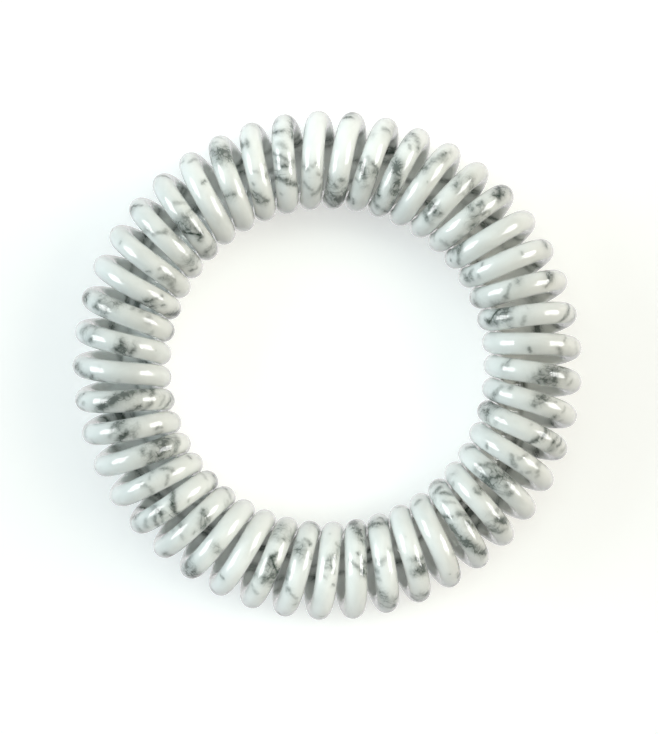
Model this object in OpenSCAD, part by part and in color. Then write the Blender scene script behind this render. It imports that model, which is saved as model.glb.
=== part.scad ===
// Spiral hair tie: one round plastic wire, wound as an endless coil that closes on itself
// in a ring. Millimetres. The ring lies flat with Z up: its underside is in the plane z = 0,
// and its centre is on the Z axis. One turn of the wire runs up the outside of the ring, over
// its top to the hole, and back underneath, while it moves on by one pitch round the ring.

/* [Ring] */
// Diameter of the round hole that the hair goes through
hole_d = 33.7; // [28:0.1:46]
// Outside diameter of the coil, measured across its turns
coil_d = 10.64; // [8:0.01:14]

/* [Wire] */
// Diameter of the wire
wire_d = 2.4; // [1.8:0.05:3]
// Least gap between neighbouring turns, where they crowd together round the hole
turn_gap = 0.1; // [0.08:0.01:0.6]
// Which way the coil winds round the ring
winding = "left"; // [left, right]

/* [Surface] */
// Flat sides round the wire
wire_sides = 8; // [6:1:12]
// Most triangles in the whole coil
triangle_limit = 11600; // [6000:100:12500]
// Colour of the plastic under its grey veins
plastic_colour = "#dfe6e3";

/* [Hidden] */

wire_r = wire_d / 2;
// Circle that the middle of the coil follows, and circle that a turn of the wire makes round it
ring_r = (hole_d + coil_d) / 2;
turn_r = (coil_d - wire_d) / 2;
ring_z = coil_d / 2;

// The turns are closest where the wire passes the hole. The wire leans there, so the pitch
// is a little more than the distance straight across two turns.
crowded_r = ring_r - turn_r;
across_two_turns = wire_d + turn_gap;
least_pitch = across_two_turns / sqrt(1 - pow(across_two_turns / (2 * PI * turn_r), 2));
turns = floor(2 * PI * crowded_r / least_pitch);
pitch_angle = 360 / turns;
first_turn_angle = pitch_angle / 2;

// Sections along one turn: an even number, so that there is one at the hole and one outside
sections_per_turn = 2 * floor(triangle_limit / (4 * turns * wire_sides));
sections = turns * sections_per_turn;
wire_side_angle = 360 / wire_sides;

// How far round its turn the wire has come at a section: 0 outside, 90 on top, 180 at the hole
function turn_angle(i) = 360 * i / sections_per_turn;
function ring_angle(i) = first_turn_angle + pitch_angle * i / sections_per_turn;

// Directions at a section: away from the ring's axis, along the ring, and out from the
// middle of the coil through the wire
function away(i) = [cos(ring_angle(i)), sin(ring_angle(i)), 0];
function along_ring(i) = [-sin(ring_angle(i)), cos(ring_angle(i)), 0];
function out_of_coil(i) = cos(turn_angle(i)) * away(i) + [0, 0, sin(turn_angle(i))];
function round_coil(i) = -sin(turn_angle(i)) * away(i) + [0, 0, cos(turn_angle(i))];

// The wire's centre line, its direction of travel, and the direction across it
function wire_centre(i) = ring_r * away(i) + [0, 0, ring_z] + turn_r * out_of_coil(i);
function travel(i) =
    turn_r * round_coil(i) + (ring_r + turn_r * cos(turn_angle(i))) / turns * along_ring(i);
function across(i) = cross(travel(i), out_of_coil(i)) / norm(travel(i));

function wire_point(i, side) =
    wire_centre(i)
    + wire_r * cos(side * wire_side_angle) * out_of_coil(i)
    + wire_r * sin(side * wire_side_angle) * across(i);

// Number of a point in the list, where the last section joins the first, and the last side too
function point_number(i, side) = (i % sections) * wire_sides + side % wire_sides;

// The two triangles of one flat side between two sections
function near_triangle(i, side) =
    [point_number(i, side), point_number(i + 1, side), point_number(i, side + 1)];
function far_triangle(i, side) =
    [point_number(i + 1, side), point_number(i + 1, side + 1), point_number(i, side + 1)];

// The wire, swept once round the ring and closed on itself
module left_hand_coil() {
    points = [
        for (i = [0 : sections - 1], side = [0 : wire_sides - 1]) wire_point(i, side)
    ];
    faces = [
        for (i = [0 : sections - 1], side = [0 : wire_sides - 1])
            each [near_triangle(i, side), far_triangle(i, side)]
    ];
    polyhedron(points = points, faces = faces, convexity = 10);
}

module spiral_coil() {
    color(plastic_colour)
        mirror([0, winding == "left" ? 0 : 1, 0])
            left_hand_coil();
}

spiral_coil();
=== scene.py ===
"""Looks of a spiral hair tie: a round, glossy wire of marbled plastic in a closed coil.

The wire is one smooth tube along the same coil as the solid in the frame. Its marbling is a pattern
that repeats three times along the wire. The tie lies on a pale floor between two soft boxes, and
the camera looks straight down on it.
"""

import math

import bpy
import numpy as np
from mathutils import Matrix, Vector


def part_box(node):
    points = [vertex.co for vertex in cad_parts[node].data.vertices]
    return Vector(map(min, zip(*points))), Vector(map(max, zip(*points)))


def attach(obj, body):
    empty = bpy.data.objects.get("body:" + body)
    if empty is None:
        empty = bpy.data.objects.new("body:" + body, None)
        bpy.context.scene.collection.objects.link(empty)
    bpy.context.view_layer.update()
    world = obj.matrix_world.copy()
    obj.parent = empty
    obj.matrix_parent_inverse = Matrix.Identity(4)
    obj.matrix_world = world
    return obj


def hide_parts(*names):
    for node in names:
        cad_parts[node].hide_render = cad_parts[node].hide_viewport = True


# Coil, in metres and degrees
WIRE_D = 0.0024
TURNS = 45
FIRST_TURN_DEG = 4.0
SECTIONS_PER_TURN = 72
WIRE_SIDES = 30

# The photograph's frame, in pixels, and where the ring stands in it
PHOTO_W, PHOTO_H = 658, 734
RING_X, RING_Y, RING_R = 327.3, 365.3, 254.8

# The marbling repeats three times along the wire, each time a little sooner than after 15 turns.
# The first repeat starts at the outside of the turn that stands above the photograph's right.
REPEATS = 3
REPEAT_TURNS = 14.938
FIRST_REPEAT_TURN = 44

# The marks of one repeat, as charted: the turn of the repeat; how dark the mark is, from
# 0 to 1; how far it spreads, in mm; and the points that it runs through. A point is two angles:
# - degrees along the turn, from 0 outside over 90 on top to 180 at the hole and 270 underneath;
# - degrees round the wire, from -90 to 90 over the half that faces out, where clockwise round the
#   ring counts as more, and about 180 where the wire faces the tunnel inside the coil.
MARKS = [
    (0, 0.25, 0.20, (33, -75), (42, -68), (50, -60)),
    (0, 0.25, 0.25, (36, -66), (43, -45), (47, -20), (49, 0)),
    (0, 0.36, 0.55, (48, -62), (58, -45), (66, -38)),
    (0, 0.27, 0.25, (60, -30), (70, -20)),
    (0, 0.56, 0.33, (64, 0), (68, 22), (74, 44)),
    (0, 0.48, 0.40, (58, 62), (68, 58), (76, 52)),
    (0, 0.31, 0.28, (75, -50), (80, -25), (87, 8)),
    (0, 0.27, 0.36, (70, -25), (74, -5), (80, 5)),
    (0, 0.25, 0.30, (85, 38)),
    (0, 0.30, 0.40, (80, 66), (90, 72)),
    (0, 0.25, 0.20, (36, 12), (39, 35)),
    (0, 0.50, 0.33, (124, -75), (124, -35), (126, -8)),
    (0, 0.18, 0.55, (62, -60), (72, -40), (78, -10)),
    (0, 0.14, 0.60, (76, 10), (82, 40), (84, 65)),
    (0, 0.27, 0.40, (60, 40), (68, 30)),
    (0, 0.25, 0.35, (42, -70), (50, -50)),
    (1, 0.35, 0.13, (44, -42), (49, -15)),
    (1, 0.35, 0.20, (57, 20), (54, 35), (49, 58)),
    (1, 0.50, 0.16, (93, 28), (91.5, 48)),
    (1, 0.15, 0.20, (26, 12), (20, 30), (17, 45)),
    (1, 0.12, 0.20, (15, -65), (24, -35), (28, -10)),
    (1, 0.85, 0.45, (282, 139), (292, 214)),
    (1, 0.40, 0.20, (330, 111), (330, 186)),
    (1, 0.40, 0.20, (341, 99), (341, 174)),
    (2, 0.50, 0.22, (25, -45), (29, -25), (33, 5), (38, 35), (43, 65)),
    (2, 0.30, 0.45, (13, 10), (14, 45)),
    (2, 0.18, 0.35, (85, -65), (87, -40)),
    (2, 0.25, 0.18, (92, 5), (95, 30), (97, 50)),
    (2, 0.52, 0.33, (109, -78), (113, -50)),
    (2, 0.58, 0.38, (116, -76), (124, -60), (127, -50)),
    (2, 0.90, 0.11, (126, -64), (130, -40), (133, -20), (138, -2), (141, 8)),
    (2, 0.51, 0.12, (141, 8), (143, -5), (146, -18), (148, -12)),
    (2, 0.36, 0.12, (139, -14), (143, -2), (145, 8)),
    (2, 0.40, 0.50, (114, -40), (122, -20), (130, 0)),
    (2, 0.34, 0.20, (130, 11), (140, 14)),
    (2, 0.45, 0.15, (108, 2), (112, -6), (115, 8)),
    (2, 0.35, 0.12, (117, 0), (119, 5)),
    (2, 0.35, 0.20, (112, 18), (113, 45), (112, 78)),
    (2, 0.22, 0.20, (130, 30), (132, 50), (134, 78)),
    (2, 0.30, 0.20, (168, -22)),
    (2, 0.30, 0.30, (167, -25), (165, 10), (166, 50)),
    (2, 0.30, 0.10, (172, 30), (171, 45)),
    (2, 0.26, 0.50, (178, -60)),
    (2, 0.36, 0.60, (185, 10), (180, 38), (188, 20)),
    (2, 0.48, 0.45, (290, 137), (290, 212)),
    (2, 0.48, 0.30, (341, 99), (341, 174)),
    (2, 0.28, 0.42, (111, -70), (122, -68)),
    (2, 0.40, 0.30, (126, -75), (136, -70)),
    (2, 0.40, 0.20, (112, 45), (111, 75)),
    (2, 0.22, 0.55, (175, -60), (187, -68)),
    (2, 0.15, 0.50, (8, 30), (16, 20)),
    (2, 0.22, 0.50, (180, 10), (186, 30)),
    (2, 0.18, 0.35, (118, -20), (130, 5)),
    (3, 0.60, 0.42, (44, -60), (44, -30), (47, -10)),
    (3, 0.35, 0.15, (41, -18), (46, 3)),
    (3, 0.45, 0.15, (50, 12), (55, 35)),
    (3, 0.30, 0.35, (86, -45), (88, -32)),
    (3, 0.30, 0.16, (98, -30), (101, -5), (105, 18), (108, 25)),
    (3, 0.33, 0.25, (106, 35)),
    (3, 0.26, 0.30, (116, 45), (117, 65)),
    (3, 0.25, 0.25, (126, 40), (128, 62)),
    (3, 0.24, 0.30, (118, 68), (134, 66)),
    (3, 0.34, 0.55, (150, 0), (155, 25), (157, 50)),
    (3, 0.30, 0.30, (158, -15), (161, 8)),
    (3, 0.32, 0.30, (154, -60)),
    (3, 0.50, 0.20, (168, -30)),
    (3, 0.35, 0.15, (170, -20), (172, 5)),
    (3, 0.28, 0.12, (167, 30), (168, 48), (173, 60)),
    (3, 0.48, 0.50, (207, -75), (209, -45)),
    (3, 0.30, 0.50, (208, -30), (210, 30)),
    (3, 0.72, 0.38, (324, 113), (332, 188)),
    (3, 0.35, 0.15, (305, 129), (305, 204)),
    (3, 0.38, 0.32, (41, -55), (46, -28)),
    (3, 0.45, 0.50, (207, -70), (212, -30)),
    (3, 0.18, 0.42, (155, 0), (156, 45)),
    (3, 0.25, 0.30, (153, -58)),
    (3, 0.18, 0.30, (87, -50), (87, -35)),
    (4, 0.42, 0.30, (25, -45), (26, -15), (28, 8)),
    (4, 0.25, 0.12, (67, -15), (67, 2)),
    (4, 0.45, 0.12, (117, -52), (119, -38)),
    (4, 0.30, 0.15, (126, 2), (128, 15)),
    (4, 0.30, 0.20, (134, -36), (138, -28)),
    (4, 0.50, 0.30, (140, -18), (146, -18), (150, -8)),
    (4, 0.35, 0.12, (139, 0), (138, 12)),
    (4, 0.30, 0.14, (143, 8), (149, 4)),
    (4, 0.32, 0.25, (150, -32), (156, -45), (162, -50)),
    (4, 0.25, 0.20, (168, -60), (170, -40)),
    (4, 0.15, 0.12, (183, 3)),
    (4, 0.30, 0.40, (168, -75), (178, -80)),
    (4, 0.30, 0.30, (284, 140), (284, 215)),
    (4, 0.38, 0.18, (319, 119), (319, 194)),
    (4, 0.32, 0.25, (24, -35), (27, -5)),
    (4, 0.15, 0.28, (137, -15), (148, -15)),
    (5, 0.60, 0.33, (123, -80), (128, -60), (131, -38)),
    (5, 0.45, 0.17, (131, -38), (135, -15), (139, 5), (145, 28)),
    (5, 0.46, 0.30, (136, -76), (141, -58), (143, -48)),
    (5, 0.55, 0.12, (151, -18), (153, -12)),
    (5, 0.72, 0.42, (172, -50), (178, -35), (188, -18), (196, -5), (204, 8), (212, 5)),
    (5, 0.18, 0.40, (150, -75), (165, -72)),
    (5, 0.30, 0.25, (242, 167), (242, 242)),
    (5, 0.55, 0.22, (277, 142), (279, 217)),
    (5, 0.55, 0.20, (285, 140), (283, 215)),
    (5, 0.65, 0.20, (303, 131), (301, 206)),
    (5, 0.24, 0.25, (125, -75), (130, -40)),
    (5, 0.38, 0.26, (139, -75), (143, -50)),
    (5, 0.36, 0.48, (180, -35), (195, -8), (208, 10)),
    (6, 0.80, 0.12, (27, -45), (31, -30), (36, -12), (41, 5), (43, 10)),
    (6, 0.85, 0.12, (43, 10), (46, 15), (48, 0), (50, -8)),
    (6, 0.40, 0.50, (20, -40), (30, -20), (36, 15), (42, 25)),
    (6, 0.30, 0.50, (15, -20), (12, 25)),
    (6, 0.36, 0.35, (36, -35), (45, -15)),
    (6, 0.50, 0.20, (68, -22), (70, -15), (73, -22)),
    (6, 0.20, 0.15, (69, 0), (71, 30)),
    (6, 0.30, 0.35, (80, -70), (84, -45), (83, -25)),
    (6, 0.32, 0.70, (78, 10), (88, 40), (90, 65)),
    (6, 0.22, 0.12, (72, 20), (75, 45), (72, 70)),
    (6, 0.22, 0.15, (66, 50), (67, 72)),
    (6, 0.20, 0.20, (95, 50), (99, 70)),
    (6, 0.30, 0.20, (115, 45), (116, 62)),
    (6, 0.33, 0.25, (126, 50), (129, 65)),
    (6, 0.27, 0.25, (139, -3), (135, 15), (138, 35)),
    (6, 0.25, 0.25, (149, -70), (150, -45)),
    (6, 0.48, 0.30, (196, -75), (190, -45), (186, 0), (190, 40), (198, 60)),
    (6, 0.40, 0.25, (200, -30)),
    (6, 0.36, 0.50, (195, 20)),
    (6, 0.30, 0.30, (284, 140), (284, 215)),
    (6, 0.70, 0.38, (314, 119), (324, 194)),
    (6, 0.30, 0.35, (22, -45), (34, -20), (42, 10)),
    (6, 0.28, 0.50, (14, -20), (20, 20)),
    (6, 0.28, 0.35, (33, 30), (42, 28)),
    (6, 0.25, 0.26, (13, 28)),
    (6, 0.24, 0.35, (81, -65), (82, -35)),
    (6, 0.32, 0.50, (85, 15), (88, 45)),
    (6, 0.22, 0.40, (95, 30), (100, 65)),
    (6, 0.26, 0.35, (188, -20), (192, -55), (200, -65)),
    (6, 0.40, 0.30, (187, 10), (192, 40), (200, 60)),
    (6, 0.30, 0.30, (196, -35), (203, -30)),
    (7, 0.24, 0.30, (58, -60), (60, -35)),
    (7, 0.45, 0.20, (70, -22), (72, -15)),
    (7, 0.30, 0.45, (70, -20), (75, 10)),
    (7, 0.36, 0.50, (52, 20), (57, 55), (62, 70)),
    (7, 0.20, 0.12, (72, 40), (71, 70)),
    (7, 0.66, 0.36, (107, -50), (112, -45), (116, -40)),
    (7, 0.54, 0.35, (112, -75), (113, -60)),
    (7, 0.50, 0.18, (107, -28), (112, -12)),
    (7, 0.36, 0.30, (111, 0), (110, 25)),
    (7, 0.40, 0.12, (108.5, 18)),
    (7, 0.45, 0.20, (126, -75), (124, -50), (124, -30), (127, -15)),
    (7, 0.40, 0.18, (125, -22)),
    (7, 0.24, 0.30, (125, 5), (128, 25)),
    (7, 0.12, 0.12, (155, 0)),
    (7, 0.24, 0.40, (212, -10)),
    (7, 0.72, 0.38, (236, 169), (241, 244)),
    (7, 0.30, 0.25, (252, 159), (252, 234)),
    (7, 0.48, 0.22, (297, 134), (296, 209)),
    (7, 0.14, 0.50, (55, 15), (62, 25)),
    (7, 0.28, 0.35, (56, 60), (60, 70)),
    (7, 0.14, 0.35, (57, -60), (62, -35)),
    (7, 0.26, 0.38, (108, -60), (114, -45)),
    (7, 0.35, 0.26, (108, -25), (114, -20)),
    (7, 0.18, 0.35, (113, 5), (115, 12)),
    (7, 0.30, 0.40, (210, -15), (216, 0)),
    (8, 0.50, 0.33, (42, 5), (48, -8), (52, 0)),
    (8, 0.30, 0.12, (39, 5), (41, 2)),
    (8, 0.30, 0.22, (55, -20), (60, -35), (64, -30)),
    (8, 0.42, 0.28, (71, -65), (72, -40), (75, -30)),
    (8, 0.35, 0.25, (76, -72), (87, -68)),
    (8, 0.15, 0.25, (28, 15), (35, 25)),
    (8, 0.25, 0.10, (86, 12)),
    (8, 0.15, 0.18, (107, -65), (109, -45)),
    (8, 0.22, 0.20, (195, -20), (192, 15)),
    (8, 0.30, 0.25, (226, 176), (226, 252)),
    (8, 0.38, 0.18, (262, 152), (262, 227)),
    (8, 0.34, 0.30, (43, 2), (50, 0)),
    (8, 0.30, 0.30, (47, 15), (51, 18)),
    (8, 0.20, 0.30, (58, -45), (62, -32)),
    (8, 0.42, 0.22, (70, -65), (73, -38)),
    (8, 0.32, 0.30, (77, -72), (87, -72)),
    (8, 0.25, 0.20, (190, 12), (194, -10)),
    (9, 0.46, 0.28, (22, -60), (28, -45), (33, -25), (38, 5), (43, 30), (50, 48)),
    (9, 0.36, 0.30, (40, -50), (47, -35)),
    (9, 0.35, 0.16, (54, -5), (57, 5)),
    (9, 0.42, 0.35, (72, -72), (80, -40)),
    (9, 0.74, 0.45, (82, -20), (92, -5), (100, 15), (108, 38)),
    (9, 0.66, 0.40, (112, 45), (122, 54), (140, 60)),
    (9, 0.48, 0.30, (150, 65), (155, 70)),
    (9, 0.60, 0.28, (115, -75), (122, -55), (130, -35)),
    (9, 0.40, 0.25, (135, -75), (140, -50), (144, -20)),
    (9, 0.40, 0.16, (145, 15), (150, 45), (155, 70)),
    (9, 0.25, 0.18, (159, -40), (163, -10), (166, 5)),
    (9, 0.40, 0.20, (172, -60), (176, -35), (179, -12)),
    (9, 0.40, 0.18, (190, -30), (188, -5), (186, 10), (188, 25)),
    (9, 0.42, 0.40, (205, -60), (206, -30)),
    (9, 0.36, 0.40, (207, 20)),
    (9, 0.24, 0.30, (178, 45), (186, 50)),
    (9, 0.60, 0.33, (281, 141), (283, 216)),
    (9, 0.85, 0.22, (304, 130), (303, 205)),
    (9, 0.85, 0.38, (310, 124), (316, 199)),
    (9, 0.66, 0.30, (341, 99), (341, 174)),
    (9, 0.38, 0.40, (85, -15), (98, 5), (112, 30)),
    (9, 0.32, 0.40, (108, 35), (128, 55), (146, 62)),
    (9, 0.26, 0.30, (74, -70), (83, -35)),
    (9, 0.38, 0.22, (121, -72), (129, -42)),
    (9, 0.25, 0.26, (137, -75), (145, -20)),
    (9, 0.32, 0.20, (149, 35), (155, 65)),
    (9, 0.25, 0.28, (30, -45), (36, -5), (48, 45)),
    (9, 0.25, 0.26, (38, -60), (48, -35)),
    (9, 0.28, 0.20, (173, -45), (180, -5)),
    (9, 0.28, 0.20, (190, -20), (186, 18)),
    (9, 0.35, 0.50, (205, -50), (208, 0)),
    (9, 0.18, 0.40, (183, 38)),
    (10, 0.24, 0.30, (50, -60), (54, -35)),
    (10, 0.25, 0.25, (41, 5), (38, 40)),
    (10, 0.24, 0.40, (15, 65), (25, 65)),
    (10, 0.66, 0.32, (94, -75), (93, -50), (98, -32)),
    (10, 0.50, 0.20, (100, -22), (103, -15), (106, -8)),
    (10, 0.48, 0.22, (88, 15), (91, 40), (95, 60)),
    (10, 0.35, 0.25, (96, 35)),
    (10, 0.38, 0.30, (98, 65), (104, 78)),
    (10, 0.30, 0.40, (100, 20), (104, 50)),
    (10, 0.30, 0.15, (113, -60), (114, -35)),
    (10, 0.18, 0.40, (118, 0)),
    (10, 0.20, 0.20, (84, -20), (87, 0)),
    (10, 0.36, 0.30, (149, -75), (149, -60)),
    (10, 0.45, 0.13, (142, -30), (147, -22), (151, -28)),
    (10, 0.25, 0.15, (177, 35), (181, 65)),
    (10, 0.24, 0.30, (186, -10), (192, 40)),
    (10, 0.32, 0.22, (226, 176), (226, 252)),
    (10, 0.46, 0.28, (272, 145), (274, 220)),
    (10, 0.50, 0.38, (336, 101), (342, 176)),
    (10, 0.42, 0.32, (92, -60), (98, -40), (106, -12)),
    (10, 0.15, 0.50, (93, 20), (100, 65)),
    (10, 0.15, 0.30, (113, -55), (116, 0), (119, 25)),
    (10, 0.32, 0.30, (147, -75), (148, -50)),
    (10, 0.18, 0.30, (40, 15), (38, 50)),
    (10, 0.20, 0.40, (12, 55), (30, 65)),
    (10, 0.20, 0.26, (178, 40), (184, 70)),
    (10, 0.18, 0.35, (192, 45)),
    (11, 0.48, 0.55, (14, -10)),
    (11, 0.45, 0.17, (27, -35), (28, -10), (29, 8)),
    (11, 0.40, 0.18, (113, 5), (114, 25)),
    (11, 0.34, 0.25, (113, -78), (116, -60)),
    (11, 0.30, 0.25, (119, -78), (121, -60)),
    (11, 0.35, 0.15, (121, -20), (123, 0)),
    (11, 0.65, 0.14, (128, -38), (133, -30), (137, -15)),
    (11, 0.42, 0.50, (130, -70), (138, -60), (142, -45)),
    (11, 0.66, 0.45, (139, 5), (143, 25), (146, 45), (145, 72)),
    (11, 0.60, 0.35, (137, 60), (147, 72)),
    (11, 0.48, 0.35, (130, 40), (134, 55)),
    (11, 0.40, 0.15, (146, -15)),
    (11, 0.40, 0.25, (150, -70), (156, -45), (158, -20), (162, 0)),
    (11, 0.39, 0.30, (152, 35)),
    (11, 0.22, 0.25, (163, 20), (166, 50)),
    (11, 0.46, 0.35, (198, -60), (199, -35)),
    (11, 0.32, 0.18, (298, 133), (298, 208)),
    (11, 0.70, 0.40, (311, 122), (320, 197)),
    (11, 0.21, 0.50, (125, -60), (137, -60)),
    (11, 0.40, 0.32, (140, 5), (148, 30)),
    (11, 0.26, 0.38, (135, 50), (148, 50)),
    (11, 0.24, 0.40, (150, -40), (155, -15)),
    (11, 0.22, 0.50, (118, -40), (122, -5)),
    (11, 0.20, 0.50, (115, 30), (122, 55)),
    (11, 0.26, 0.40, (158, 5), (162, 40)),
    (11, 0.38, 0.50, (8, -5), (15, -5)),
    (11, 0.38, 0.22, (27, -30), (28, -2)),
    (11, 0.25, 0.30, (199, -60), (200, -28)),
    (12, 0.30, 0.25, (94, -78), (98, -60), (101, -30)),
    (12, 0.30, 0.20, (97, 2)),
    (12, 0.25, 0.15, (93, 15), (94, 28)),
    (12, 0.25, 0.15, (105, 25), (107, 38)),
    (12, 0.32, 0.16, (119, -48), (122, -30), (126, -5)),
    (12, 0.38, 0.24, (134, 5), (130, 30), (124, 48)),
    (12, 0.20, 0.20, (112, 55), (112, 75)),
    (12, 0.45, 0.16, (167, 18), (168, 38)),
    (12, 0.30, 0.45, (284, 140), (284, 215)),
    (12, 0.60, 0.25, (307, 127), (308, 202)),
    (12, 0.38, 0.20, (322, 117), (322, 192)),
    (12, 0.85, 0.35, (352, 80), (360, 155)),
    (13, 0.36, 0.30, (8, -75), (20, -60), (28, -35)),
    (13, 0.48, 0.30, (37, -78), (44, -55), (49, -25), (48, 5)),
    (13, 0.54, 0.40, (8, 55), (25, 60), (40, 78)),
    (13, 0.36, 0.30, (45, 45), (55, 70)),
    (13, 0.28, 0.25, (64, -20), (67, 5), (70, 15)),
    (13, 0.50, 0.16, (72, -78), (77, -45), (80, -15), (84, 5)),
    (13, 0.35, 0.15, (85, -50), (90, -25), (92, -8)),
    (13, 0.48, 0.13, (92, -7), (92, -3)),
    (13, 0.45, 0.18, (92, 5), (90, 28), (86, 30)),
    (13, 0.32, 0.30, (88, 60)),
    (13, 0.65, 0.20, (107, -68), (106, -40), (108, -15), (109, 0)),
    (13, 0.62, 0.22, (111, 0), (114, 25), (116, 42), (119, 65), (121, 80)),
    (13, 0.22, 0.12, (127, -42), (128, -34)),
    (13, 0.22, 0.30, (160, -60)),
    (13, 0.22, 0.20, (165, 5), (170, 35)),
    (13, 0.36, 0.40, (178, -60), (185, -30), (187, -5), (186, 40)),
    (13, 0.35, 0.15, (186, -18), (190, 0), (195, -10)),
    (13, 0.60, 0.60, (200, -60), (210, -30)),
    (13, 0.48, 0.35, (208, 184), (216, 259)),
    (13, 0.28, 0.25, (243, 166), (243, 241)),
    (13, 0.32, 0.22, (264, 151), (264, 226)),
    (13, 0.28, 0.20, (302, 131), (302, 206)),
    (13, 0.72, 0.35, (369, 67), (375, 142)),
    (13, 0.42, 0.35, (8, 60), (28, 75)),
    (13, 0.35, 0.30, (35, 72), (52, 65)),
    (13, 0.38, 0.30, (12, -75), (28, -40)),
    (13, 0.30, 0.30, (38, -65), (48, -20)),
    (13, 0.26, 0.35, (85, 60), (90, 50)),
    (13, 0.38, 0.20, (92, 5), (90, 35)),
    (13, 0.18, 0.35, (97, -40), (100, -60)),
    (13, 0.34, 0.50, (182, -60), (195, -65)),
    (13, 0.19, 0.40, (186, -15), (195, -10)),
    (13, 0.50, 0.55, (203, -60), (212, -20)),
    (13, 0.23, 0.50, (186, 30), (200, 15)),
    (14, 0.35, 0.22, (43, -65), (50, -52)),
    (14, 0.25, 0.20, (52, -40), (52, -15)),
    (14, 0.30, 0.14, (46, -15), (52, -14), (57, -12)),
    (14, 0.22, 0.15, (88, -20), (90, 5)),
    (14, 0.20, 0.20, (83, 55), (82, 78)),
    (14, 0.37, 0.30, (96, 45), (95, 78)),
    (14, 0.35, 0.13, (102, -38), (104, -34)),
    (14, 0.66, 0.33, (118, -55), (120, -42)),
    (14, 0.35, 0.10, (112, -50), (116, -25), (122, -3), (128, 15)),
    (14, 0.30, 0.35, (119, -25), (125, -15), (128, 0)),
    (14, 0.44, 0.15, (129, 18)),
    (14, 0.40, 0.15, (127, -38)),
    (14, 0.26, 0.30, (163, -60), (163, -42)),
    (14, 0.30, 0.25, (175, -35), (178, 0), (182, 18)),
    (14, 0.33, 0.20, (181, 15)),
    (14, 0.36, 0.40, (187, 45), (200, 60)),
    (14, 0.18, 0.30, (10, 15), (20, 40)),
    (14, 0.50, 0.30, (232, 172), (239, 247)),
    (14, 0.62, 0.35, (280, 141), (284, 216)),
    (14, 0.58, 0.22, (299, 133), (297, 208)),
    (14, 0.32, 0.32, (117, -50), (122, -40)),
    (14, 0.20, 0.30, (128, -30), (129, 5)),
    (14, 0.42, 0.24, (42, -62), (52, -52)),
    (14, 0.26, 0.28, (162, -55), (164, -45)),
    (14, 0.26, 0.22, (97, 50), (95, 75)),
    (14, 0.20, 0.40, (185, 45), (197, 55)),
]

# Marks that spread no further than this, in mm, are drawn as fine marks and the rest as clouds
FINE_SPREAD = 0.25
FINE_LAYERS = 4
# A fine mark keeps its whole darkness out to this many times its spread and FINE_FADE_MM more, and
# fades over as much again. It has its layer to itself for FINE_ROOM_MM beyond that.
FINE_REACH = 1.8
FINE_FADE_MM = 0.45
FINE_ROOM_MM = 0.4
# Points this much further off than a fine mark needs are looked at too
SPARE_MM = 0.1
# The distance that stands for no mark near, as a multiple of a mark's spread
FAR_AWAY = 20
# The faint cloud round a fine mark: its share of the mark's darkness, and how many mm wider it is
HALO_INK = 0.5
HALO_SPREAD = 0.2
# A cloud is a core and a veil, which has this share of its darkness and this many times its width.
# It is painted out to CLOUD_REACH times its spread.
VEIL_SHARE = 0.28
VEIL_WIDTH = 2.2
CLOUD_REACH = 4.5
# The chart is read as if from far off. The camera's nearness shows marks on top this much sooner.
NEARNESS_DEG = 2.1

# The marks on the sides that the photograph doesn't show are made up. This share of their clusters
# lies under the coil, and the rest on the side of the wire that faces the tunnel. The ranges are
# degrees along the turn and round the wire, and in the tunnel round from its middle.
HIDDEN_SEED = 11
UNDER_SHARE = 0.6
UNDER_ALONG, UNDER_ROUND = (236, 350), (-60, 45)
TUNNEL_ALONG, TUNNEL_ROUND = (0, 225), (-60, 60)
# How many clusters a turn has, from the first number to below the second; how many clouds and
# veins there are in a cluster; and how many specks a turn has
CLUSTERS, CLOUDS, VEINS, SPECKS = (1, 3), 2, 3, 3
# Clouds, veins, cracks and specks: how far they stray from a cluster's middle, in degrees along and
# round; how dark they are; their spread and length in mm; and how far they run along the wire for
# each mm round it
CLOUD_STRAY, CLOUD_INK, CLOUD_SPREAD, CLOUD_LENGTH = (5, 20), (0.25, 0.55), (0.3, 0.5), (0.3, 1.6)
CLOUD_LEAN = 0.6
VEIN_STRAY, VEIN_INK, VEIN_SPREAD, VEIN_LENGTH = (9, 25), (0.3, 0.6), (0.12, 0.25), (0.4, 2.4)
VEIN_LEAN = (0.1, 1.2)
CRACK_SHARE, CRACK_INK, CRACK_SPREAD, CRACK_LENGTH, CRACK_LEAN = 0.35, 0.8, 0.11, (1.0, 2.2), 0.9
SPECK_INK, SPECK_SPREAD, SPECK_LENGTH, SPECK_LEAN = (0.2, 0.45), (0.12, 0.2), (0.05, 0.9), (0, 0.8)
# How far a mark's middle is off a straight line at most, as a share of its length along the wire
BEND_SHARE = 0.15

# The marbling's colours, clear and clouded
MILK = (0.805, 0.820, 0.809, 1)
CREAM = (0.805, 0.812, 0.792, 1)
INK = (0.027, 0.047, 0.035, 1)
# The plastic lets some light through, and has a clear, glossy skin
SURFACE = {
    "IOR": 1.5,
    "Specular IOR Level": 0.2,
    "Subsurface Weight": 1.0,
    "Subsurface Radius": (1.0, 1.0, 1.0),
    "Subsurface Scale": 0.0018,
    "Coat Weight": 1.0,
    "Coat Roughness": 0.06,
    "Coat IOR": 1.5,
}
ROUGHNESS = (0.14, 0.2)
BUMP = {"Strength": 0.12, "Distance": 0.00006}
# How deep the ink lies in the skin, against the swells' height of one
INK_DEPTH = 0.25

# Grain: how many to each mm along the wire and round it, and its detail
SMOKE = (1.5, 1.1, 4.0)
WEAVE = (4.5, 3.0, 3.0)
WANDER = (1.7, 1.7, 3.0)
HAZE = (0.35, 0.5, 4.0)
TONE = (0.09, 0.3, 2.0)
SWELLS = (0.5, 0.6, 2.0)
# The threads in a cloud: their grain, how far it is from its middle at their edge,
# and how dark they are
THREADS = (((0.6, 0.8, 2.0), 0.035, 0.35), ((1.3, 1.1, 1.0), 0.05, 0.45))
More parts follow.
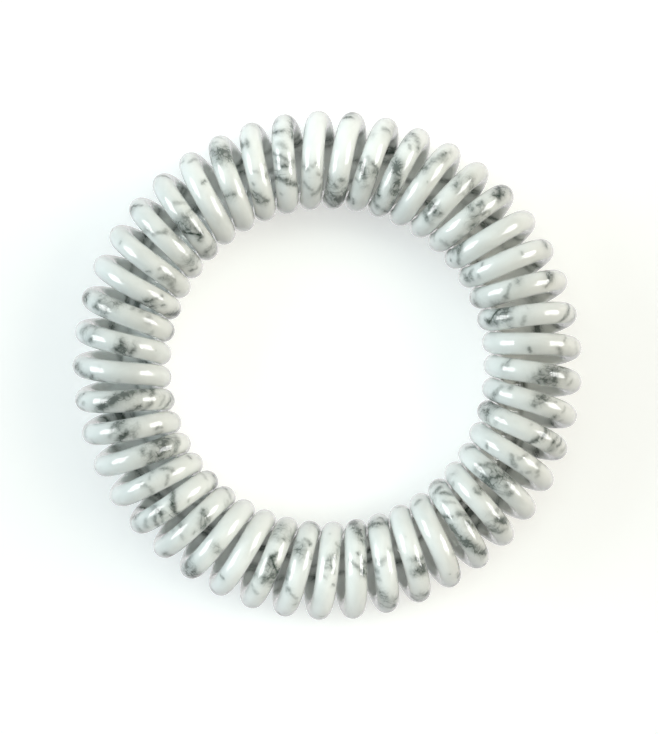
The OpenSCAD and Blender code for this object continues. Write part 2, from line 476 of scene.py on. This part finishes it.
# The parts of a grain's range over which what it makes goes from its least to its most
CLOUD_RANGE, FINE_RANGE = (0.32, 0.68), (0.3, 0.7)
HAZE_RANGE, TONE_RANGE = (0.42, 0.68), (0.35, 0.65)
# How much darker or lighter the grain makes a cloud or a fine mark, and the haze that it adds
SMOKE_GAIN, WEAVE_GAIN, FINE_GAIN, HAZE_INK = (0.7, 1.15), (0.9, 1.1), (0.75, 1.3), (0.0, 0.10)
# How far a fine mark is drawn, and how far its edge wanders in all, as multiples of its spread
FINE_EDGE = 2.1
WANDER_SPAN = 3.2
# The darkest that the clouds and a fine mark may be
CLOUD_LIMIT = 0.85
FINE_LIMIT = 0.95

# Floor: half its width in metres, its paleness, its roughness and its glow
FLOOR_HALF, FLOOR_PALE, FLOOR_ROUGHNESS, FLOOR_GLOW = 3.0, 0.8, 0.8, 0.33
# Lamps, in metres and in degrees from straight above. Each soft box has a white one for its glare.
BOXES = (
    ("soft_box_right", 1, 50, (2.53, 2.33, 1.80)),
    ("soft_box_left", -1, 68, (2.18, 2.87, 3.05)),
)
BOX_DISTANCE, BOX_Y, BOX_SIZE = 0.6, 0.075, (0.46, 0.42)
GLARE_TILT, GLARE_DISTANCE, GLARE_SIZE, GLARE_TINT = 60, 0.588, (0.41, 0.37), (8.0, 8.0, 8.0)
BACK_TILT, BACK_DISTANCE, BACK_SIZE, BACK_TINT = 12, 0.9, (0.7, 0.5), (0.87, 1.08, 0.98)
# The fills over the far and the near part of the ring: where they are along Y, their strength,
# and how many times as far along Y they aim
FILLS = (("far_fill", 0.034, 2.15, 1.1), ("near_fill", -0.027, 2.0, 1.6))
FILL_HEIGHT, FILL_SIZE, FILL_TINT = 0.034, (0.03, 0.02), (0.89, 0.94, 0.91)
# Light from all round, above and below the floor, and the share that comes from the near side
SKY, GROUND, NEAR_SHARE = 0.4, 0.8, 0.28
HORIZON = (-0.05, 0.0)
CAMERA_DISTANCE = 0.6
FILM_WIDTH_MM = 36.0

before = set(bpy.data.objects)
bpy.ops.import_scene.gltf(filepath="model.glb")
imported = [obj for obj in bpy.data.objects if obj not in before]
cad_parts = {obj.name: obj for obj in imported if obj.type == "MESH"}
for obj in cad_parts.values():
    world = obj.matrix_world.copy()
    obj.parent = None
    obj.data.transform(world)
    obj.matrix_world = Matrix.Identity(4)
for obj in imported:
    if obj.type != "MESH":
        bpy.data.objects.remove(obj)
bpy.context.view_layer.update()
low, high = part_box("spiral_coil")

# Sizes from the frame: the coil is as deep as it is wide, and the ring reaches furthest at -X
coil_r = (high.z - low.z) / 2
outer_r = -low.x
ring_r = outer_r - coil_r
wire_r = WIRE_D / 2
turn_r = coil_r - wire_r
ring_z = low.z + coil_r

SECTIONS = TURNS * SECTIONS_PER_TURN
section_degrees = 360 * np.arange(SECTIONS) / SECTIONS_PER_TURN
# The sides of the wire in a section: 0 faces out of the coil, and 90 anticlockwise round the ring
side_degrees = 360 * np.arange(WIRE_SIDES) / WIRE_SIDES


def wire_frame():
    """The wire's centre and the two directions across it, at each section."""
    turn = np.radians(section_degrees)
    ring = math.radians(FIRST_TURN_DEG) + turn / TURNS
    zero, one = np.zeros(SECTIONS), np.ones(SECTIONS)
    away = np.stack([np.cos(ring), np.sin(ring), zero], axis=1)
    along_ring = np.stack([-np.sin(ring), np.cos(ring), zero], axis=1)
    up = np.stack([zero, zero, one], axis=1)
    cos_turn, sin_turn = np.cos(turn)[:, None], np.sin(turn)[:, None]
    out = cos_turn * away + sin_turn * up
    centre = ring_r * away + ring_z * up + turn_r * out
    travel = turn_r * (cos_turn * up - sin_turn * away)
    travel += (ring_r + turn_r * cos_turn) / TURNS * along_ring
    across = np.cross(travel, out)
    across /= np.linalg.norm(travel, axis=1)[:, None]
    return centre, out, across


def closed_tube(name, centres, firsts, seconds):
    """The wire as a mesh, with its rings of points in the plane of the two directions."""
    around = np.radians(side_degrees)
    points = centres[:, None, :] + wire_r * (
        np.cos(around)[None, :, None] * firsts[:, None, :]
        + np.sin(around)[None, :, None] * seconds[:, None, :]
    )
    ring, side = np.meshgrid(np.arange(SECTIONS), np.arange(WIRE_SIDES), indexing="ij")
    next_ring, next_side = (ring + 1) % SECTIONS, (side + 1) % WIRE_SIDES
    corners = np.stack(
        [
            ring * WIRE_SIDES + side,
            ring * WIRE_SIDES + next_side,
            next_ring * WIRE_SIDES + next_side,
            next_ring * WIRE_SIDES + side,
        ],
        axis=-1,
    )
    mesh = bpy.data.meshes.new(name)
    mesh.from_pydata(points.reshape(-1, 3).tolist(), [], corners.reshape(-1, 4).tolist())
    mesh.shade_smooth()
    mesh.update()
    return mesh


def set_attribute(mesh, name, values):
    """Gives each point of the mesh a number, or three where values has three for each."""
    kind, field = ("FLOAT_VECTOR", "vector") if values.ndim == 3 else ("FLOAT", "value")
    attribute = mesh.attributes.new(name, kind, "POINT")
    attribute.data.foreach_set(field, values.astype(np.float32).ravel())


def unwound(centres):
    """The wire laid out as one plain loop, in mm: two places along it, and two across it.

    The marbling's grain is made in these four, so it has no seam and can be longer one way.
    """
    step = 1000 * np.linalg.norm(np.roll(centres, -1, axis=0) - centres, axis=1)
    loop_r = step.sum() / (2 * math.pi)
    angle = (np.concatenate([[0], np.cumsum(step)[:-1]]) / loop_r)[:, None]
    around = np.radians(side_degrees)[None, :]
    plain = np.zeros((SECTIONS, WIRE_SIDES))
    across = 1000 * wire_r
    loop = (loop_r * np.cos(angle), loop_r * np.sin(angle), across * np.cos(around))
    return np.stack([part + plain for part in loop], axis=-1), across * np.sin(around) + plain


def hidden_marks(seed):
    """Marks for the sides that the photograph doesn't show, in the manner of the chart."""
    draw = np.random.default_rng(seed)
    marks = []

    def add(turn, at, ink, spread, length, lean):
        """A mark of that length in mm, which runs that many mm along the wire for each mm round."""
        whole = math.hypot(1, lean)
        along_degrees = math.degrees(length * lean / whole / (1000 * coil_r))
        round_degrees = math.degrees(length / whole / (1000 * wire_r))
        bend = draw.uniform(-BEND_SHARE, BEND_SHARE) * along_degrees
        points = [
            (at[0] + share * along_degrees + bend * (share == 0), at[1] + share * round_degrees)
            for share in (-0.5, 0.0, 0.5)
        ]
        marks.append((turn, ink, spread, *points))

    def hidden_place():
        if draw.random() < UNDER_SHARE:
            return draw.uniform(*UNDER_ALONG), draw.uniform(*UNDER_ROUND)
        return draw.uniform(*TUNNEL_ALONG), 180 + draw.uniform(*TUNNEL_ROUND)

    def near(centre, stray):
        return centre[0] + draw.normal(0, stray[0]), centre[1] + draw.normal(0, stray[1])

    for turn in range(math.ceil(REPEAT_TURNS)):
        for _ in range(draw.integers(*CLUSTERS)):
            centre = hidden_place()
            for _ in range(CLOUDS):
                at = near(centre, CLOUD_STRAY)
                ink, spread = draw.uniform(*CLOUD_INK), draw.uniform(*CLOUD_SPREAD)
                add(turn, at, ink, spread, draw.uniform(*CLOUD_LENGTH), CLOUD_LEAN)
            for _ in range(VEINS):
                at = near(centre, VEIN_STRAY)
                lean = draw.uniform(*VEIN_LEAN)
                ink, spread = draw.uniform(*VEIN_INK), draw.uniform(*VEIN_SPREAD)
                add(turn, at, ink, spread, draw.uniform(*VEIN_LENGTH), lean)
            if draw.random() < CRACK_SHARE:
                length = draw.uniform(*CRACK_LENGTH)
                add(turn, centre, CRACK_INK, CRACK_SPREAD, length, CRACK_LEAN)
        for _ in range(SPECKS):
            ink, length = draw.uniform(*SPECK_INK), draw.uniform(*SPECK_LENGTH)
            at, spread = hidden_place(), draw.uniform(*SPECK_SPREAD)
            add(turn, at, ink, spread, length, draw.uniform(*SPECK_LEAN))
    return marks


def stroke_distance(along, around, points):
    """For each place, how far it is past the stroke's ends and to the side of it, in mm."""
    if len(points) == 1:
        return along - points[0][0], around - points[0][1]
    past = np.full(along.shape, np.inf)
    beside = np.full(along.shape, np.inf)
    nearest = np.full(along.shape, np.inf)
    last = len(points) - 2
    for i, (start, end) in enumerate(zip(points, points[1:])):
        way = (end[0] - start[0], end[1] - start[1])
        length = math.hypot(*way)
        from_start = (along - start[0], around - start[1])
        travelled = (from_start[0] * way[0] + from_start[1] * way[1]) / length
        side = (way[0] * from_start[1] - way[1] * from_start[0]) / length
        over = np.minimum(travelled, 0) + np.maximum(travelled - length, 0)
        distance = np.hypot(over, side)
        # At a bend between two parts, all of the distance counts as beside the stroke
        inner = ((over < 0) & (i > 0)) | ((over > 0) & (i < last))
        over_here = np.where(inner, 0, over)
        side_here = np.where(inner, np.copysign(distance, side), side)
        nearer = distance < nearest
        past = np.where(nearer, over_here, past)
        beside = np.where(nearer, side_here, beside)
        nearest = np.minimum(nearest, distance)
    return past, beside


def paint_marks(marks):
    """How dark the clouds are at each point of the wire, and the fine marks near it in layers.

    A point of a layer holds its distance past and beside the nearest mark, as a multiple of the
    mark's spread, and how dark that mark is. These run evenly from point to point, so the shader
    can draw marks that are finer than the mesh. Marks of one layer stay clear of each other, and
    where all layers are taken the earlier mark stays.
    """
    clear = np.ones((SECTIONS, WIRE_SIDES))
    layers = np.zeros((FINE_LAYERS, SECTIONS, WIRE_SIDES, 3))
    layers[..., :2] = FAR_AWAY
    taken = np.zeros((FINE_LAYERS, SECTIONS, WIRE_SIDES), bool)
    clockwise = -side_degrees
    wire_mm = 1000 * wire_r
    reach_mm = 1000 * (turn_r + wire_r * np.cos(np.radians(clockwise)))[None, :]
    for repeat in range(REPEATS):
        for turn, ink, spread, *points in marks:
            fine = spread <= FINE_SPREAD
            inner = FINE_REACH * spread + FINE_FADE_MM
            outer = inner + FINE_FADE_MM
            margin = outer + FINE_ROOM_MM + SPARE_MM if fine else CLOUD_REACH * spread
            degrees = np.array(points, float)
            middle = (degrees.max(axis=0) + degrees.min(axis=0)) / 2
            half = np.ptp(degrees[:, 0]) / 2 + math.degrees(margin / (1000 * turn_r))
            start = 360 * (FIRST_REPEAT_TURN + turn + repeat * REPEAT_TURNS)
            start += middle[0] + NEARNESS_DEG
            first, last = (int((start + part) / 360 * SECTIONS_PER_TURN) for part in (-half, half))
            rows = np.arange(first, last + 1)
            # Where the rows' points and the mark's are from the mark's middle, in mm
            along = np.radians(360 * rows / SECTIONS_PER_TURN - start)[:, None] * reach_mm
            turned = (clockwise - middle[1] + 180) % 360 - 180
            around = wire_mm * np.radians(turned)[None, :] + 0 * along
            from_middle = np.radians(degrees - middle)
            mark_reach = 1000 * (turn_r + wire_r * np.cos(np.radians(degrees[:, 1])))
            mark = np.stack([from_middle[:, 0] * mark_reach, from_middle[:, 1] * wire_mm], axis=1)
            past, beside = stroke_distance(along, around, mark)
            distance = np.hypot(past, beside)
            rows %= SECTIONS
            if not fine:
                core = np.exp(-((distance / spread) ** 2))
                veil = np.exp(-((distance / (VEIL_WIDTH * spread)) ** 2))
                clear[rows] *= 1 - ink * ((1 - VEIL_SHARE) * core + VEIL_SHARE * veil)
                continue
            clear[rows] *= 1 - HALO_INK * ink * np.exp(-((distance / (spread + HALO_SPREAD)) ** 2))
            near = distance < outer + FINE_ROOM_MM
            clashes = [np.count_nonzero(taken[layer][rows] & near) for layer in range(FINE_LAYERS)]
            layer = int(np.argmin(clashes))
            shown = near & ~taken[layer][rows]
            fade = np.clip((outer - distance) / (outer - inner), 0, 1)
            values = np.stack([past / spread, beside / spread, ink * fade], axis=-1)
            block = layers[layer][rows]
            block[shown] = values[shown]
            layers[layer][rows] = block
            taken[layer][rows] |= near
    return 1 - clear, layers


def spiral_coil(material):
    centre, out, across = wire_frame()
    mesh = closed_tube("marbled_coil", centre, out, across)
    loop, loop_side = unwound(centre)
    set_attribute(mesh, "unwound", loop)
    set_attribute(mesh, "unwound_side", loop_side)
    clouds, layers = paint_marks(MARKS + hidden_marks(HIDDEN_SEED))
    set_attribute(mesh, "clouds", clouds)
    for i, layer in enumerate(layers):
        set_attribute(mesh, f"fine_marks_{i}", layer)
    mesh.materials.append(material)
    piece = bpy.data.objects.new("marbled_coil", mesh)
    bpy.context.scene.collection.objects.link(piece)
    return piece


class Shading:
    """Makes a material's nodes and joins them up."""

    def __init__(self, name):
        self.material = bpy.data.materials.new(name)
        self.material.use_nodes = True
        self.tree = self.material.node_tree
        self.shader = self.tree.nodes["Principled BSDF"]

    def join(self, value, socket):
        if isinstance(value, bpy.types.NodeSocket):
            self.tree.links.new(value, socket)
        else:
            socket.default_value = value

    def node(self, kind, inputs, **settings):
        node = self.tree.nodes.new(kind)
        for setting, value in settings.items():
            setattr(node, setting, value)
        for socket, value in inputs.items():
            self.join(value, node.inputs[socket])
        return node

    def attribute(self, name, output):
        return self.node("ShaderNodeAttribute", {}, attribute_name=name).outputs[output]

    def math(self, operation, first, second=0.0):
        return self.node("ShaderNodeMath", {0: first, 1: second}, operation=operation).outputs[0]

    def vector(self, operation, first, second):
        inputs = {0: first, 1: second}
        return self.node("ShaderNodeVectorMath", inputs, operation=operation).outputs[0]

    def smooth_step(self, value, span, ends=(0.0, 1.0)):
        """A soft step from the first end to the other while the value goes over the span."""
        inputs = {"Value": value, "From Min": span[0], "From Max": span[1]}
        inputs.update({"To Min": ends[0], "To Max": ends[1]})
        return self.node("ShaderNodeMapRange", inputs, interpolation_type="SMOOTHSTEP").outputs[0]

    def mix_colour(self, share, first, second):
        inputs = {0: share, 6: first, 7: second}
        return self.node("ShaderNodeMix", inputs, data_type="RGBA").outputs[2]

    def grain(self, along_per_mm, round_per_mm, detail, output="Fac"):
        """Noise in the unwound wire, with that many grains for each mm along and round it."""
        scales = (along_per_mm, along_per_mm, round_per_mm)
        place = self.vector("MULTIPLY", self.attribute("unwound", "Vector"), scales)
        side = self.math("MULTIPLY", self.attribute("unwound_side", "Fac"), round_per_mm)
        inputs = {"Vector": place, "W": side, "Scale": 1.0}
        inputs.update({"Detail": detail, "Roughness": 0.5, "Distortion": 0.4})
        return self.node("ShaderNodeTexNoise", inputs, noise_dimensions="4D").outputs[output]


def marbled_plastic():
    """Milky plastic with grey-green clouds and veins, which their own grain makes wispy."""
    s = Shading("marbled_plastic")
    weave = s.grain(*WEAVE)
    threads = 0.0
    for grain, width, darkness in THREADS:
        off_middle = s.math("ABSOLUTE", s.math("SUBTRACT", s.grain(*grain), 0.5))
        threads = s.math("ADD", threads, s.smooth_step(off_middle, (width, 0.0), (0.0, darkness)))
    wander = s.vector("SUBTRACT", s.grain(*WANDER, "Color"), (0.5, 0.5, 0.5))
    wander = s.vector("MULTIPLY", wander, (WANDER_SPAN, WANDER_SPAN, 0.0))

    smoke = s.smooth_step(s.grain(*SMOKE), CLOUD_RANGE, SMOKE_GAIN)
    clouds = s.math("MULTIPLY", s.attribute("clouds", "Fac"), s.math("ADD", smoke, threads))
    clouds = s.math("MULTIPLY", clouds, s.smooth_step(weave, CLOUD_RANGE, WEAVE_GAIN))
    clouds = s.math("ADD", clouds, s.smooth_step(s.grain(*HAZE), HAZE_RANGE, HAZE_INK))
    clear = s.math("SUBTRACT", 1.0, s.math("MINIMUM", clouds, CLOUD_LIMIT))
    patchy = s.smooth_step(weave, FINE_RANGE, FINE_GAIN)
    for i in range(FINE_LAYERS):
        mark = s.vector("ADD", s.attribute(f"fine_marks_{i}", "Vector"), wander)
        past, beside, ink = s.node("ShaderNodeSeparateXYZ", {0: mark}).outputs
        square = s.math("ADD", s.math("MULTIPLY", past, past), s.math("MULTIPLY", beside, beside))
        shape = s.smooth_step(s.math("SQRT", square), (FINE_EDGE, 0.0))
        ink = s.math("MULTIPLY", s.math("MULTIPLY", shape, ink), patchy)
        ink = s.math("MINIMUM", ink, FINE_LIMIT)
        clear = s.math("MULTIPLY", clear, s.math("SUBTRACT", 1.0, ink))
    ink = s.math("SUBTRACT", 1.0, clear)

    base = s.mix_colour(s.smooth_step(s.grain(*TONE), TONE_RANGE), MILK, CREAM)
    s.join(s.mix_colour(ink, base, INK), s.shader.inputs["Base Color"])
    s.join(s.smooth_step(weave, FINE_RANGE, ROUGHNESS), s.shader.inputs["Roughness"])
    height = s.math("ADD", s.grain(*SWELLS), s.math("MULTIPLY", ink, -INK_DEPTH))
    bump = s.node("ShaderNodeBump", {**BUMP, "Height": height})
    s.join(bump.outputs[0], s.shader.inputs["Normal"])
    for name, value in SURFACE.items():
        s.shader.inputs[name].default_value = value
    return s.material


def add_floor():
    """A plain pale floor, which glows a little and isn't seen in the wire's gloss."""
    mesh = bpy.data.meshes.new("floor")
    half = FLOOR_HALF
    corners = [(-half, -half, 0), (half, -half, 0), (half, half, 0), (-half, half, 0)]
    mesh.from_pydata(corners, [], [(0, 1, 2, 3)])
    s = Shading("floor")
    s.shader.inputs["Base Color"].default_value = (FLOOR_PALE, FLOOR_PALE, FLOOR_PALE, 1)
    s.shader.inputs["Roughness"].default_value = FLOOR_ROUGHNESS
    s.shader.inputs["Emission Color"].default_value = (1, 1, 1, 1)
    s.shader.inputs["Emission Strength"].default_value = FLOOR_GLOW
    mesh.materials.append(s.material)
    floor = bpy.data.objects.new("floor", mesh)
    bpy.context.scene.collection.objects.link(floor)
    floor.visible_glossy = False


def add_panel(name, place, target, size, brightness, lit):
    """A soft panel that faces its target, and lights the body or gives the glare on the skin."""
    light = bpy.data.lights.new(name, "AREA")
    light.shape = "RECTANGLE"
    light.size, light.size_y = size
    strongest = max(brightness)
    light.energy = math.pi * size[0] * size[1] * strongest
    light.color = [part / strongest for part in brightness]
    lamp = bpy.data.objects.new(name, light)
    lamp.location = place
    lamp.rotation_euler = (Vector(target) - Vector(place)).to_track_quat("-Z", "Y").to_euler()
    lamp.visible_camera = False
    lamp.visible_glossy = lit == "skin"
    lamp.visible_diffuse = lit == "body"
    bpy.context.scene.collection.objects.link(lamp)


def add_surroundings():
    """Light from all round, dimmer from the near side. Only the skin sees that from below."""
    world = bpy.data.worlds.new("studio")
    world.use_nodes = True
    nodes, links = world.node_tree.nodes, world.node_tree.links
    background = nodes["Background"]
    background.inputs["Color"].default_value = (1, 1, 1, 1)
    place = nodes.new("ShaderNodeTexCoord")
    split = nodes.new("ShaderNodeSeparateXYZ")
    links.new(place.outputs["Generated"], split.inputs[0])
    product = nodes.new("ShaderNodeMath")
    product.operation = "MULTIPLY"
    fades = (("Z", HORIZON, (GROUND, SKY)), ("Y", (-1.0, 0.0), (NEAR_SHARE, 1.0)))
    for i, (axis, span, ends) in enumerate(fades):
        fade = nodes.new("ShaderNodeMapRange")
        for socket, value in zip(("From Min", "From Max", "To Min", "To Max"), span + ends):
            fade.inputs[socket].default_value = value
        links.new(split.outputs[axis], fade.inputs["Value"])
        links.new(fade.outputs[0], product.inputs[i])
    links.new(product.outputs[0], background.inputs["Strength"])
    bpy.context.scene.world = world


def tilted(tilt_deg, distance):
    """Sideways and up, for a light at that tilt from straight above."""
    return distance * math.sin(math.radians(tilt_deg)), distance * math.cos(math.radians(tilt_deg))


def add_lights():
    """A tinted soft box on each side with its white glare, and plain fills from above."""
    target = (0, BOX_Y, 0)
    for name, sign, tilt_deg, tint in BOXES:
        side, height = tilted(tilt_deg, BOX_DISTANCE)
        add_panel(name, (sign * side, BOX_Y, height), target, BOX_SIZE, tint, "body")
        side, height = tilted(GLARE_TILT, GLARE_DISTANCE)
        place = (sign * side, BOX_Y, height)
        add_panel(f"{name}_glare", place, target, GLARE_SIZE, GLARE_TINT, "skin")
    back, height = tilted(BACK_TILT, BACK_DISTANCE)
    add_panel("back_fill", (0, back, height), (0, 0, 0), BACK_SIZE, BACK_TINT, "body")
    for name, y, strength, aim in FILLS:
        tint = [part * strength for part in FILL_TINT]
        add_panel(name, (0, y, FILL_HEIGHT), (0, aim * y, 0), FILL_SIZE, tint, "body")


def add_camera():
    """Straight above the ring, so that it has the photograph's size and place in the frame."""
    data = bpy.data.cameras.new("camera")
    camera = bpy.data.objects.new("camera", data)
    metres_per_pixel = outer_r / RING_R
    data.sensor_width = FILM_WIDTH_MM
    data.lens = FILM_WIDTH_MM * CAMERA_DISTANCE / (PHOTO_H * metres_per_pixel)
    camera.location = (
        (PHOTO_W / 2 - RING_X) * metres_per_pixel,
        (RING_Y - PHOTO_H / 2) * metres_per_pixel,
        ring_z + CAMERA_DISTANCE,
    )
    bpy.context.scene.collection.objects.link(camera)
    bpy.context.scene.camera = camera


coil = spiral_coil(marbled_plastic())
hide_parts("spiral_coil")
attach(coil, "root")

add_floor()
add_lights()
add_surroundings()
add_camera()
bpy.context.scene.view_settings.view_transform = "Standard"
